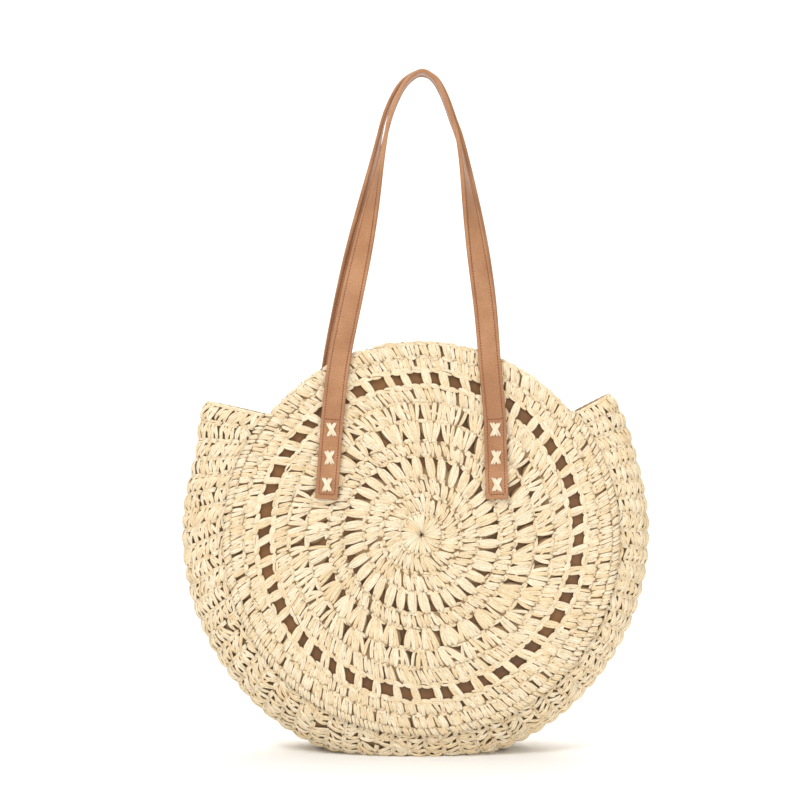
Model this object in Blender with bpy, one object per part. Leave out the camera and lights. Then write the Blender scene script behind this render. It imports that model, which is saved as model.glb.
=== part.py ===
"""Round crocheted straw beach bag with two leather handles.

Two flat round panels lean together at the top. A crocheted band (the gusset) runs round their
lower edge and is folded outwards, so that its two ends stand up as ears beside the mouth.
Metres, +Z up, X is the bag's width, the front faces -Y, and the origin is on the floor at the
middle of the bag. Points on a panel are given in the panel's own plane: u across, v up along
the panel, w outwards from its inner face.
"""
import math

import bmesh
import bpy
from mathutils import Matrix, Vector

# Round panels
PANEL_RADIUS = 0.184
PANEL_THICKNESS = 0.005
PANEL_SIDES = 100
RIM_HEIGHT = 0.025          # lowest point of a panel's inner face above the floor
BASE_HALF_GAP = 0.047       # from the bag's middle to a panel's inner face, at its lowest point
MOUTH_HALF_GAP = 0.012      # the same at its highest point
OPENWORK_RIM = 0.0285       # from the ring of square openings to the panel's rim
OPENWORK_SIZE = 0.015
OPENWORK_COUNT = 50

# Gusset band
GUSSET_THICKNESS = 0.0042
GUSSET_TUCK = 0.003         # how far the band reaches in behind a panel's rim
FOLD_LEFT = 0.045           # how far the band's outer fold reaches past a panel's rim
FOLD_RIGHT = 0.0345
EAR_FLARE_LEFT = 0.0135     # how much further the fold reaches at the tip of an ear
EAR_FLARE_RIGHT = 0.0075
EAR_FLARE_SPAN_LEFT = 14.0  # degrees of the fold over which the ear flares
EAR_FLARE_SPAN_RIGHT = 22.0
RIM_END_LEFT = 141.8        # degrees, where the band's end meets the panels
RIM_END_RIGHT = 38.4
FOLD_END_LEFT = 148.6       # degrees, where the tip of the ear stands
FOLD_END_RIGHT = 36.2
FOLD_FULLNESS = 0.75        # 1 is an elliptic cross-section, less is blunter
GUSSET_STATIONS = 44        # along the band
GUSSET_STEPS = 10           # across the band

# Lining and seams
LINING_THICKNESS = 0.0007
SEAM_RADIUS = 0.0018
SEAM_SIDES = 6

# Handles
STRAP_WIDTH = 0.0215
STRAP_THICKNESS = 0.004
STRAP_CORNER = 0.0012
TAB_LENGTH = 0.076
TAB_DROP = 0.07467          # from a panel's highest point down to the tab's top
TAB_TOP_LEFT = 0.0846       # from the panel centre to the strap's middle, at the tab's top
TAB_TOP_RIGHT = 0.0701
TAB_LEAN_LEFT = 4.1         # degrees, the strap's foot stands further out than its top
TAB_LEAN_RIGHT = 1.2
HANDLE_RISE = 0.332         # from the tab's top to the middle of the strap at its peak
BACK_EXTRA_RISE = 0.004     # the back handle stands this much higher
BACK_SPREAD_LEFT = 1.08     # how much wider the back handle stands
BACK_SPREAD_RIGHT = 1.03
BACK_FULLNESS = 0.9         # below 1 the back handle's arch is rounder
STRAP_PAIR_GAP = 0.003      # between the two straps at their peaks
STRAP_LEAVES_PANEL = 0.2    # share of the rise where the strap stops following the panel
STRAP_UPRIGHT = 0.6         # share of the rise where it has reached its distance at the peak
TWIST_START = 0.19          # share of the rise where the strap begins to turn
TWIST_END = 0.88            # share of the rise where it has turned edge-on
TWIST_DELAY = 1.2           # above 1 the strap turns later
STATIONS_PER_LEG = 18

# Cross stitches that hold the tabs
CROSS_WIDTH = 0.0078
CROSS_HEIGHT = 0.0135
CROSS_STRAND = 0.0028
CROSS_RELIEF = 0.0018
CROSS_ARM_END = 0.6         # half strands that an arm runs on past its tip
CROSS_SHOULDER = 0.6        # share of the relief where the strand begins to round off
CROSS_CROWN = 0.8           # size of the rounded top, as a share of the foot
CROSS_SHARES = (0.13, 0.48, 0.82)   # down the tab, from its top

# Magnetic snap
SNAP_RADIUS = 0.009
SNAP_THICKNESS = 0.0022
SNAP_STUD_RADIUS = 0.0028
SNAP_STUD_HEIGHT = 0.0012
SNAP_BEVEL = 0.00055
SNAP_DROP = 0.028           # from a panel's highest point down to the snap's middle
SNAP_SIDES = 24

CLEARANCE = 0.0003          # between neighbouring pieces
SEAM_GAP = 0.0005           # between the band and a panel's inner face

# Fineness of the shapes
NORMAL_STEP = 0.004         # share of the band over which its slope is taken
ROUTE_STEPS = 12            # between two points of a strap's route
SHARP_ANGLE = 35            # degrees, above which an edge stays sharp
SEAM_SHARP_ANGLE = 70
AXIS_SIZE = 0.03            # of the cross that shows a joint's axis

FRONT = -1
BACK = 1

# The arch of a handle leg: (share of the distance from the middle, share of the rise)
LEFT_LEG = ((1.0, 0.0), (0.933, 0.156), (0.786, 0.347), (0.573, 0.599), (0.427, 0.785),
            (0.345, 0.877), (0.218, 0.952), (0.1, 0.987))
RIGHT_LEG = ((1.0, 0.0), (0.936, 0.156), (0.854, 0.347), (0.678, 0.599), (0.529, 0.785),
             (0.407, 0.87), (0.285, 0.94), (0.163, 0.983))
PEAK = (0.02, 1.0)

# Worked out from the values above
LEAN = math.asin((BASE_HALF_GAP - MOUTH_HALF_GAP) / (2 * PANEL_RADIUS))
PANEL_DEPTH = (BASE_HALF_GAP + MOUTH_HALF_GAP) / 2
PANEL_HEIGHT = RIM_HEIGHT + PANEL_RADIUS * math.cos(LEAN)
MIDDLE_X = (FOLD_LEFT - FOLD_RIGHT) / 2
OPENWORK_OUTER = PANEL_RADIUS - OPENWORK_RIM
OPENWORK_INNER = OPENWORK_OUTER - OPENWORK_SIZE
REACH_LEFT = PANEL_RADIUS + FOLD_LEFT
REACH_RIGHT = PANEL_RADIUS + FOLD_RIGHT
BAND_RADIUS = PANEL_RADIUS - GUSSET_TUCK
LINING_RADIUS = BAND_RADIUS - SEAM_GAP
STRAP_MIDDLE = PANEL_THICKNESS + CLEARANCE + STRAP_THICKNESS / 2
SEAM_RUN_RADIUS = PANEL_RADIUS + CLEARANCE + SEAM_RADIUS
PANEL_HINGE_DROP = SEAM_RUN_RADIUS + SEAM_RADIUS + CLEARANCE
TAB_TOP = PANEL_RADIUS - TAB_DROP


def clear_scene():
    """Remove everything that the scene starts with."""
    for item in list(bpy.data.objects):
        bpy.data.objects.remove(item, do_unlink=True)


def make_material(name, colour, roughness, metallic=0.0):
    """A plain Principled material."""
    material = bpy.data.materials.new(name)
    material.use_nodes = True
    shader = material.node_tree.nodes["Principled BSDF"]
    shader.inputs["Base Color"].default_value = (*colour, 1.0)
    shader.inputs["Roughness"].default_value = roughness
    shader.inputs["Metallic"].default_value = metallic
    return material


def on_panel(side, u, v, w):
    """World point of a place on the front or back panel."""
    depth = PANEL_DEPTH - v * math.sin(LEAN) + w * math.cos(LEAN)
    height = PANEL_HEIGHT + v * math.cos(LEAN) + w * math.sin(LEAN)
    return Vector((MIDDLE_X + u, side * depth, height))


def panel_frame(side):
    """Location and rotation of an object that is modelled in a panel's plane."""
    location = Vector((MIDDLE_X, side * PANEL_DEPTH, PANEL_HEIGHT))
    return location, (side * LEAN, 0.0, 0.0)


def add_object(name, mesh_builder, material, parent=None, frame=None, sharp_angle=SHARP_ANGLE):
    """Turn a bmesh into a named object with outward faces, a material and a place."""
    bmesh.ops.recalc_face_normals(mesh_builder, faces=mesh_builder.faces)
    mesh = bpy.data.meshes.new(name)
    mesh_builder.to_mesh(mesh)
    mesh_builder.free()
    mesh.shade_smooth()
    mesh.set_sharp_from_angle(angle=math.radians(sharp_angle))
    mesh.materials.append(material)
    item = bpy.data.objects.new(name, mesh)
    bpy.context.collection.objects.link(item)
    if frame is not None:
        item.location, item.rotation_euler = frame
    if parent is not None:
        item.parent = parent
        item.matrix_parent_inverse = Matrix.Translation(parent.location).inverted()
    return item


def add_axis(name, location, parent=None):
    """An empty on a joint's axis, which runs along X."""
    axis = bpy.data.objects.new(name, None)
    axis.empty_display_size = AXIS_SIZE
    bpy.context.collection.objects.link(axis)
    if parent is None:
        axis.location = location
    else:
        axis.parent = parent
        axis.matrix_parent_inverse = Matrix.Translation(parent.location).inverted()
        axis.location = location
    return axis


def loft(rings):
    """A closed solid through rings of points, with a flat cap at each end."""
    builder = bmesh.new()
    loops = [[builder.verts.new(point) for point in ring] for ring in rings]
    count = len(loops[0])
    for lower, upper in zip(loops, loops[1:]):
        for i in range(count):
            j = (i + 1) % count
            builder.faces.new((lower[i], lower[j], upper[j], upper[i]))
    builder.faces.new(loops[0])
    builder.faces.new(reversed(loops[-1]))
    return builder


def shell(outer, inner):
    """A closed skin between two grids of points of the same size."""
    builder = bmesh.new()
    skins = [[[builder.verts.new(point) for point in row] for row in grid]
             for grid in (outer, inner)]
    rows = len(outer)
    columns = len(outer[0])
    for skin in skins:
        for i in range(rows - 1):
            for j in range(columns - 1):
                builder.faces.new((skin[i][j], skin[i + 1][j], skin[i + 1][j + 1], skin[i][j + 1]))
    for i in range(rows - 1):
        for j in (0, columns - 1):
            builder.faces.new((skins[0][i][j], skins[0][i + 1][j], skins[1][i + 1][j], skins[1][i][j]))
    for j in range(columns - 1):
        for i in (0, rows - 1):
            builder.faces.new((skins[0][i][j], skins[0][i][j + 1], skins[1][i][j + 1], skins[1][i][j]))
    return builder


def smooth_step(value):
    """0 below 0, 1 above 1, and a smooth rise between."""
    share = min(max(value, 0.0), 1.0)
    return share * share * (3 - 2 * share)


# ---- panels and linings -------------------------------------------------------------------

def openwork_panel(side):
    """A round slab with a ring of square openings, in the panel's plane."""
    builder = bmesh.new()
    posts = OPENWORK_COUNT * 2
    radii = (OPENWORK_INNER, OPENWORK_OUTER, PANEL_RADIUS)
    layers = []
    for w in (0.0, PANEL_THICKNESS):
        circles = []
        for radius in radii:
            circle = []
            for i in range(posts):
                angle = 2 * math.pi * (i + 0.5) / posts
                place = (radius * math.cos(angle), side * w, radius * math.sin(angle))
                circle.append(builder.verts.new(place))
            circles.append(circle)
        layers.append(circles)
    for circles in layers:
        builder.faces.new(circles[0])
    for i in range(posts):
        j = (i + 1) % posts
        for circles in layers:
            builder.faces.new((circles[1][i], circles[1][j], circles[2][j], circles[2][i]))
        inside, outside = layers
        builder.faces.new((inside[2][i], inside[2][j], outside[2][j], outside[2][i]))
        if i % 2 == 0:
            for circles in layers:
                builder.faces.new((circles[0][i], circles[0][j], circles[1][j], circles[1][i]))
            for k in (i, j):
                builder.faces.new((inside[0][k], inside[1][k], outside[1][k], outside[0][k]))
        else:
            for ring in (0, 1):
                builder.faces.new((inside[ring][i], inside[ring][j], outside[ring][j], outside[ring][i]))
    return builder


def lining_disc(side):
    """The round lining just inside a panel."""
    rings = []
    for w in (-CLEARANCE, -CLEARANCE - LINING_THICKNESS):
        ring = []
        for i in range(PANEL_SIDES):
            angle = 2 * math.pi * i / PANEL_SIDES
            ring.append((LINING_RADIUS * math.cos(angle), side * w, LINING_RADIUS * math.sin(angle)))
        rings.append(ring)
    return loft(rings)


def joining_seam(side):
    """The crocheted cord that joins a panel's rim to the band, laid in the corner between them."""
    rings = []
    for station in range(GUSSET_STATIONS + 1):
        share = station / GUSSET_STATIONS
        angle = math.radians(RIM_END_RIGHT + (RIM_END_LEFT - 360 - RIM_END_RIGHT) * share)
        ring = []
        for i in range(SEAM_SIDES):
            turn = 2 * math.pi * i / SEAM_SIDES
            radius = SEAM_RUN_RADIUS + SEAM_RADIUS * math.cos(turn)
            w = SEAM_RADIUS + SEAM_RADIUS * math.sin(turn)
            ring.append((radius * math.cos(angle), side * w, radius * math.sin(angle)))
        rings.append(ring)
    return loft(rings)


# ---- gusset -------------------------------------------------------------------------------

def reach(angle):
    """Distance from the panel centre to the band's fold, at an angle in degrees."""
    rightness = smooth_step((1 + math.cos(math.radians(angle))) / 2)
    distance = REACH_LEFT + (REACH_RIGHT - REACH_LEFT) * rightness
    from_right = (FOLD_END_RIGHT - angle) / EAR_FLARE_SPAN_RIGHT
    from_left = (angle - (FOLD_END_LEFT - 360)) / EAR_FLARE_SPAN_LEFT
    distance += EAR_FLARE_RIGHT * (1 - smooth_step(from_right))
    distance += EAR_FLARE_LEFT * (1 - smooth_step(from_left))
    return distance


def band_point(along, across):
    """Point of the band's outer face: along from 0 to 1, across from -1 (front) to 1 (back)."""
    rim_angle = math.radians(RIM_END_RIGHT + (RIM_END_LEFT - 360 - RIM_END_RIGHT) * along)
    fold_angle = FOLD_END_RIGHT + (FOLD_END_LEFT - 360 - FOLD_END_RIGHT) * along
    u = BAND_RADIUS * math.cos(rim_angle)
    v = BAND_RADIUS * math.sin(rim_angle)
    front = on_panel(FRONT, u, v, -SEAM_GAP)
    back = on_panel(BACK, u, v, -SEAM_GAP)
    middle = (front + back) / 2
    distance = reach(fold_angle)
    fold = Vector((MIDDLE_X + distance * math.cos(math.radians(fold_angle)), 0.0,
                   PANEL_HEIGHT + distance * math.sin(math.radians(fold_angle))))
    turn = across * math.pi / 2
    out = max(math.cos(turn), 0.0) ** FOLD_FULLNESS
    point = middle + (fold - middle) * out + (back - middle) * math.sin(turn)
    point.z = max(point.z, 0.0)
    return point


def band_normal(along, across):
    """Outward direction of the band's outer face."""
    step = NORMAL_STEP
    low = min(max(along, step), 1 - step)
    side = min(max(across, step - 1), 1 - step)
    run = band_point(low + step, side) - band_point(low - step, side)
    fall = band_point(low, side + step) - band_point(low, side - step)
    normal = run.cross(fall).normalized()
    outward = band_point(along, across) - Vector((MIDDLE_X, 0.0, PANEL_HEIGHT))
    return normal if normal.dot(outward) > 0 else -normal


def band_grid(depth):
    """Grid of points at a depth under the band's outer face."""
    grid = []
    for station in range(GUSSET_STATIONS + 1):
        row = []
        for step in range(GUSSET_STEPS + 1):
            along = station / GUSSET_STATIONS
            across = 2 * step / GUSSET_STEPS - 1
            row.append(band_point(along, across) - band_normal(along, across) * depth)
        grid.append(row)
    return grid


# ---- handles ------------------------------------------------------------------------------

def tab_outline(side, hand):
    """Middle of a tab's top and foot, in the panel's plane."""
    top = tab_top(side, hand)
    lean = math.radians(TAB_LEAN_LEFT if hand < 0 else TAB_LEAN_RIGHT)
    foot = top + hand * TAB_LENGTH * math.tan(lean)
    return top, foot


def tab_top(side, hand):
    """Distance of a tab's top from the panel's middle; hand is -1 on the left, 1 on the right."""
    distance = TAB_TOP_LEFT if hand < 0 else TAB_TOP_RIGHT
    if side == BACK:
        distance *= BACK_SPREAD_LEFT if hand < 0 else BACK_SPREAD_RIGHT
    return hand * distance


def handle_tab(side, hand):
    """The sewn end of a strap, flat on the panel."""
    top, foot = tab_outline(side, hand)
    rings = []
    for w in (PANEL_THICKNESS + CLEARANCE, PANEL_THICKNESS + CLEARANCE + STRAP_THICKNESS):
        ring = []
        for middle, v in ((top, TAB_TOP), (foot, TAB_TOP - TAB_LENGTH)):
            direction = 1 if v == TAB_TOP else -1
            for edge in (-1, 1):
                ring.append((middle + direction * edge * STRAP_WIDTH / 2, side * w, v))
        rings.append(ring)
    return loft(rings)


def cross_stitch(side, hand, share):
    """Two crossing straw strands on a tab, as one raised cross."""
    top, foot = tab_outline(side, hand)
    middle_u = top + (foot - top) * share
    middle_v = TAB_TOP - TAB_LENGTH * share
    half = CROSS_STRAND / 2
    tip = Vector(((CROSS_WIDTH - CROSS_STRAND) / 2, (CROSS_HEIGHT - CROSS_STRAND) / 2))
    along = tip.normalized()
    outline = []
    for mirror_u, mirror_v in ((1, 1), (-1, 1), (-1, -1), (1, -1)):
        arm = Vector((tip.x * mirror_u, tip.y * mirror_v))
        push = Vector((along.x * mirror_u, along.y * mirror_v)) * half
        sideways = Vector((-push.y, push.x))
        end = arm + push * CROSS_ARM_END
        outline.append((end - sideways, end + sideways))
    inner_u = half / along.y
    inner_v = half / along.x
    notches = ((0, inner_v), (-inner_u, 0), (0, -inner_v), (inner_u, 0))
    points = []
    for pair, notch in zip(outline, notches):
        points.extend(pair)
        points.append(Vector(notch))
    start = PANEL_THICKNESS + STRAP_THICKNESS + 2 * CLEARANCE
    rings = []
    for lift, size in ((0.0, 1.0), (CROSS_SHOULDER, 1.0), (1.0, CROSS_CROWN)):
        w = start + CROSS_RELIEF * lift
        rings.append([(middle_u + p.x * size, side * w, middle_v + p.y * size) for p in points])
    return loft(rings)


def handle_route(side):
    """Middle line of a strap, from the left tab's top to the right tab's top."""
    rise = HANDLE_RISE + (BACK_EXTRA_RISE if side == BACK else 0.0)
    fullness = BACK_FULLNESS if side == BACK else 1.0
    left = [(tab_top(side, -1) * spread ** fullness, share) for spread, share in LEFT_LEG]
    right = [(tab_top(side, 1) * spread ** fullness, share) for spread, share in RIGHT_LEG]
    plan = left + [(TAB_TOP_RIGHT * PEAK[0], PEAK[1])] + right[::-1]
    foot = on_panel(side, 0.0, TAB_TOP, STRAP_MIDDLE)
    start = foot.z + CLEARANCE
    points = [Vector((MIDDLE_X + x, 0.0, start + share * rise)) for x, share in plan]
    route = smooth_route(points, 2 * STATIONS_PER_LEG)
    peak = (STRAP_WIDTH + STRAP_PAIR_GAP) / 2
    for point in route:
        follow = abs(foot.y) - (point.z - foot.z) * math.tan(LEAN)
        share = (point.z - start) / rise
        blend = smooth_step((share - STRAP_LEAVES_PANEL) / (STRAP_UPRIGHT - STRAP_LEAVES_PANEL))
        point.y = side * (follow + (peak - follow) * blend)
    return route


def smooth_route(points, count):
    """Evenly counted points on a smooth curve through the given ones."""
    ends = [2 * points[0] - points[1]] + points + [2 * points[-1] - points[-2]]
    fine = []
    for a, b, c, d in zip(ends, ends[1:], ends[2:], ends[3:]):
        for k in range(ROUTE_STEPS):
            t = k / ROUTE_STEPS
            fine.append(0.5 * (2 * b + (c - a) * t + (2 * a - 5 * b + 4 * c - d) * t * t
                               + (3 * b - a - 3 * c + d) * t ** 3))
    fine.append(points[-1])
    lengths = [0.0]
    for a, b in zip(fine, fine[1:]):
        lengths.append(lengths[-1] + (b - a).length)
    result = []
    k = 0
    for i in range(count + 1):
        target = lengths[-1] * i / count
        while k < len(fine) - 2 and lengths[k + 1] < target:
            k += 1
        share = (target - lengths[k]) / (lengths[k + 1] - lengths[k])
        result.append(fine[k].lerp(fine[k + 1], min(share, 1.0)))
    return result


def strap_section():
    """Cross-section of a strap: pairs across its width and through its thickness."""
    a = STRAP_WIDTH / 2
    b = STRAP_THICKNESS / 2
    c = STRAP_CORNER
    return ((a - c, b), (a, b - c), (a, c - b), (a - c, -b), (c - a, -b), (-a, c - b), (-a, b - c),
            (c - a, b))


def handle_strap(side):
    """The free part of a strap, which turns edge-on towards its peak."""
    route = handle_route(side)
    foot = route[0].z
    rise = max(point.z for point in route) - foot
    forward = Vector((0.0, side * math.cos(LEAN), math.sin(LEAN)))
    rings = []
    for i, point in enumerate(route):
        before = route[max(i - 1, 0)]
        after = route[min(i + 1, len(route) - 1)]
        run = (after - before).normalized()
        turned = ((point.z - foot) / rise - TWIST_START) / (TWIST_END - TWIST_START)
        twist = math.pi / 2 * smooth_step(max(turned, 0.0) ** TWIST_DELAY)
        outward = Vector((-run.z, 0.0, run.x)).normalized()
        face = forward * math.cos(twist) + outward * math.sin(twist)
        across = run.cross(face).normalized()
        face = across.cross(run).normalized()
        if i in (0, len(route) - 1):
            across = Vector((math.copysign(1.0, across.x), 0.0, 0.0))
            face = forward
        rings.append([point + across * a + face * b for a, b in strap_section()])
    return loft(rings)


# ---- snap ---------------------------------------------------------------------------------

def snap_half(side, profile):
    """A turned disc on the lining; profile is (radius, distance inwards) pairs."""
    seat = -2 * CLEARANCE - LINING_THICKNESS
    centre_v = PANEL_RADIUS - SNAP_DROP
    rings = []
    for radius, inwards in profile:
        ring = []
        for i in range(SNAP_SIDES):
            angle = 2 * math.pi * i / SNAP_SIDES
            ring.append((radius * math.cos(angle), side * (seat - inwards),
                         centre_v + radius * math.sin(angle)))
        rings.append(ring)
    return loft(rings)


def snap_profiles():
    """Profiles of the socket half and of the stud half."""
    disc = ((SNAP_RADIUS, 0.0), (SNAP_RADIUS, SNAP_THICKNESS - SNAP_BEVEL),
            (SNAP_RADIUS - SNAP_BEVEL, SNAP_THICKNESS))
    hole = SNAP_STUD_RADIUS + CLEARANCE
    socket = disc + ((hole, SNAP_THICKNESS), (hole, SNAP_THICKNESS - SNAP_STUD_HEIGHT - CLEARANCE))
    stud_top = SNAP_THICKNESS + SNAP_STUD_HEIGHT
    stud = disc + ((SNAP_STUD_RADIUS, SNAP_THICKNESS), (SNAP_STUD_RADIUS, stud_top - SNAP_BEVEL),
                   (SNAP_STUD_RADIUS - SNAP_BEVEL, stud_top))
    return socket, stud


# ---- assembly -----------------------------------------------------------------------------

def build():
    """Make every piece of the bag."""
    clear_scene()
    straw = make_material("straw", (0.86, 0.74, 0.53), 0.75)
    seam_straw = make_material("seam_straw", (0.80, 0.67, 0.46), 0.8)
    leather = make_material("leather", (0.50, 0.25, 0.14), 0.5)
    satin = make_material("satin", (0.30, 0.16, 0.07), 0.45)
    cross_straw = make_material("cross_straw", (0.90, 0.80, 0.62), 0.75)
    brass = make_material("brass", (0.75, 0.58, 0.28), 0.3, 1.0)

    front_axis = add_axis("front_panel_axis", on_panel(FRONT, 0.0, -PANEL_HINGE_DROP, 0.0))
    swing_w = PANEL_THICKNESS + CLEARANCE + STRAP_THICKNESS
    front_swing = add_axis("front_handle_axis", on_panel(FRONT, 0.0, TAB_TOP, swing_w), front_axis)
    back_swing = add_axis("back_handle_axis", on_panel(BACK, 0.0, TAB_TOP, swing_w))

    socket, stud = snap_profiles()
    sides = (("front", FRONT, front_axis, front_swing, "snap_socket", socket),
             ("back", BACK, None, back_swing, "snap_stud", stud))
    for word, side, body, swing, snap_name, snap_profile in sides:
        frame = panel_frame(side)
        add_object(f"{word}_panel", openwork_panel(side), straw, body, frame)
        add_object(f"{word}_lining", lining_disc(side), satin, body, frame)
        add_object(f"{word}_joining_seam", joining_seam(side), seam_straw, body, frame,
                   SEAM_SHARP_ANGLE)
        add_object(snap_name, snap_half(side, snap_profile), brass, body, frame)
        for hand_word, hand in (("left", -1), ("right", 1)):
            name = f"{word}_{hand_word}"
            add_object(f"{name}_handle_tab", handle_tab(side, hand), leather, body, frame)
            for number, share in enumerate(CROSS_SHARES, 1):
                add_object(f"{name}_cross_stitch_{number}", cross_stitch(side, hand, share),
                           cross_straw, body, frame)
        add_object(f"{word}_handle_strap", handle_strap(side), leather, swing)

    lining_top = GUSSET_THICKNESS + CLEARANCE
    add_object("gusset_band", shell(band_grid(0.0), band_grid(GUSSET_THICKNESS)), straw)
    add_object("gusset_lining", shell(band_grid(lining_top), band_grid(lining_top + LINING_THICKNESS)),
               satin)


build()
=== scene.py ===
"""Looks of the round crocheted straw beach bag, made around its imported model.

Metres, +Z up, the front faces -Y. The crochet is made of single straw strands: every stitch is a
few leaf-shaped strands swept along their own paths, laid out ring by ring on the round panels and
row by row on the gusset band. Places on a panel are polar: radius, angle (counter-clockwise from
+X, seen from the front) and lift outwards from the panel's inner face.
"""
import math

import bpy
import numpy as np
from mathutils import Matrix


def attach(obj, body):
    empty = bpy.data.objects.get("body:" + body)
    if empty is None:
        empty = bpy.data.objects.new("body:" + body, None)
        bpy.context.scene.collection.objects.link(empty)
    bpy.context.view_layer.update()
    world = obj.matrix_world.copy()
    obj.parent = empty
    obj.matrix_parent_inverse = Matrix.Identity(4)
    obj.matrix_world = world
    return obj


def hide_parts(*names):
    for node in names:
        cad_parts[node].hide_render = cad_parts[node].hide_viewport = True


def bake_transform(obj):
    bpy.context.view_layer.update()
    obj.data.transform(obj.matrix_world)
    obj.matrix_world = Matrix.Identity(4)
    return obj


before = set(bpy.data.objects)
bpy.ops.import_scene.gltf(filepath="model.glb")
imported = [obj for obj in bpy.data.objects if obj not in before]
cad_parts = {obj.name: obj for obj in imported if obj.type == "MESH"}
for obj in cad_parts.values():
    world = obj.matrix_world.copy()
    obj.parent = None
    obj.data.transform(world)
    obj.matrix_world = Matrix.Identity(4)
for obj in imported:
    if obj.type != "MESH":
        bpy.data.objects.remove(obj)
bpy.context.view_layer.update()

# ---- driving sizes, the same as the model's ----

PANEL_RADIUS = 0.184
PANEL_THICKNESS = 0.005
RIM_HEIGHT = 0.025
BASE_HALF_GAP = 0.047
MOUTH_HALF_GAP = 0.012
GUSSET_THICKNESS = 0.0042
GUSSET_TUCK = 0.003
FOLD_LEFT = 0.045
FOLD_RIGHT = 0.0345
EAR_FLARE_LEFT = 0.0135
EAR_FLARE_RIGHT = 0.0075
EAR_FLARE_SPAN_LEFT = 14.0
EAR_FLARE_SPAN_RIGHT = 22.0
RIM_END_LEFT = 141.8
RIM_END_RIGHT = 38.4
FOLD_END_LEFT = 148.6
FOLD_END_RIGHT = 36.2
FOLD_FULLNESS = 0.75
SEAM_GAP = 0.0005
CLEARANCE = 0.0003
STRAP_WIDTH = 0.0215
STRAP_THICKNESS = 0.004
TAB_LENGTH = 0.076
TAB_DROP = 0.07467
TAB_TOP_LEFT = 0.0846
TAB_TOP_RIGHT = 0.0701
TAB_LEAN_LEFT = 4.1
TAB_LEAN_RIGHT = 1.2
HANDLE_RISE = 0.332
BACK_EXTRA_RISE = 0.004
BACK_SPREAD_LEFT = 1.08
BACK_SPREAD_RIGHT = 1.03
BACK_FULLNESS = 0.9
STRAP_PAIR_GAP = 0.003
STRAP_LEAVES_PANEL = 0.2
STRAP_UPRIGHT = 0.6
TWIST_START = 0.19
TWIST_END = 0.88
TWIST_DELAY = 1.2
LEFT_LEG = ((1.0, 0.0), (0.933, 0.156), (0.786, 0.347), (0.573, 0.599), (0.427, 0.785),
            (0.345, 0.877), (0.218, 0.952), (0.1, 0.987))
RIGHT_LEG = ((1.0, 0.0), (0.936, 0.156), (0.854, 0.347), (0.678, 0.599), (0.529, 0.785),
             (0.407, 0.87), (0.285, 0.94), (0.163, 0.983))
PEAK = (0.02, 1.0)
CROSS_WIDTH = 0.0078
CROSS_HEIGHT = 0.0135
CROSS_SHARES = (0.13, 0.48, 0.82)

FRONT = -1
BACK = 1
LEAN = math.asin((BASE_HALF_GAP - MOUTH_HALF_GAP) / (2 * PANEL_RADIUS))
PANEL_DEPTH = (BASE_HALF_GAP + MOUTH_HALF_GAP) / 2
PANEL_HEIGHT = RIM_HEIGHT + PANEL_RADIUS * math.cos(LEAN)
MIDDLE_X = (FOLD_LEFT - FOLD_RIGHT) / 2
REACH_LEFT = PANEL_RADIUS + FOLD_LEFT
REACH_RIGHT = PANEL_RADIUS + FOLD_RIGHT
BAND_RADIUS = PANEL_RADIUS - GUSSET_TUCK
STRAP_MIDDLE = PANEL_THICKNESS + CLEARANCE + STRAP_THICKNESS / 2
TAB_TOP = PANEL_RADIUS - TAB_DROP

# ---- straw strands ----

SECTION = np.array(((1.0, 0.0), (0.82, 0.62), (0.42, 0.98), (0.08, 0.68), (-0.34, 1.0),
                    (-0.8, 0.62), (-1.0, 0.0), (-0.5, -0.75), (0.5, -0.75)))
CROWN = 1 / 3  # where the top of the section lies, as a share of the way round it
ALONG = np.array((0.0, 0.14, 0.38, 0.64, 0.87, 1.0))  # shares of a strand's length
ARCH = np.sin(ALONG * math.pi)  # 0 at a strand's ends, 1 near its middle
LEAF = np.array((0.34, 0.78, 1.0, 0.96, 0.7, 0.3))
GRAIN = np.array((0.32, 0.7, 0.95, 1.0, 0.92, 0.52))  # blunt at the head of a stitch
THIN = np.array((0.42, 0.8, 1.0, 1.0, 0.8, 0.42))
FULL = np.array((0.95, 1.0, 1.0, 1.0, 1.0, 0.95))
HEAD_OPEN = np.array((1.0, 1.0, 0.92, 0.7, 0.45, 0.3))
FOOT_OPEN = np.array((0.3, 0.45, 0.8, 1.0, 1.0, 0.9))
SHADE_MARK = 2.0  # added to the tone of a strand that lies under others, so that it is painted dark as shade
TONE_SPREAD = 0.22
# Where a strand lies in its own cell of the bake's sheet: its side, then its two ends
CELL_CORNER, CELL_SIZE = (0.05, 0.15), (0.9, 0.7)
CELL_ENDS, CELL_END_RADIUS = ((0.5, 0.07), (0.5, 0.93)), 0.05


def lerp(a, b, share):
    """Between a and b."""
    return a + (b - a) * share


def smooth_step(value):
    """0 below 0, 1 above 1, and a smooth rise between."""
    share = np.clip(value, 0.0, 1.0)
    return share * share * (3 - 2 * share)


def unit(vectors):
    """Vectors of length 1."""
    return vectors / np.maximum(np.linalg.norm(vectors, axis=-1, keepdims=True), 1e-12)


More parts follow.
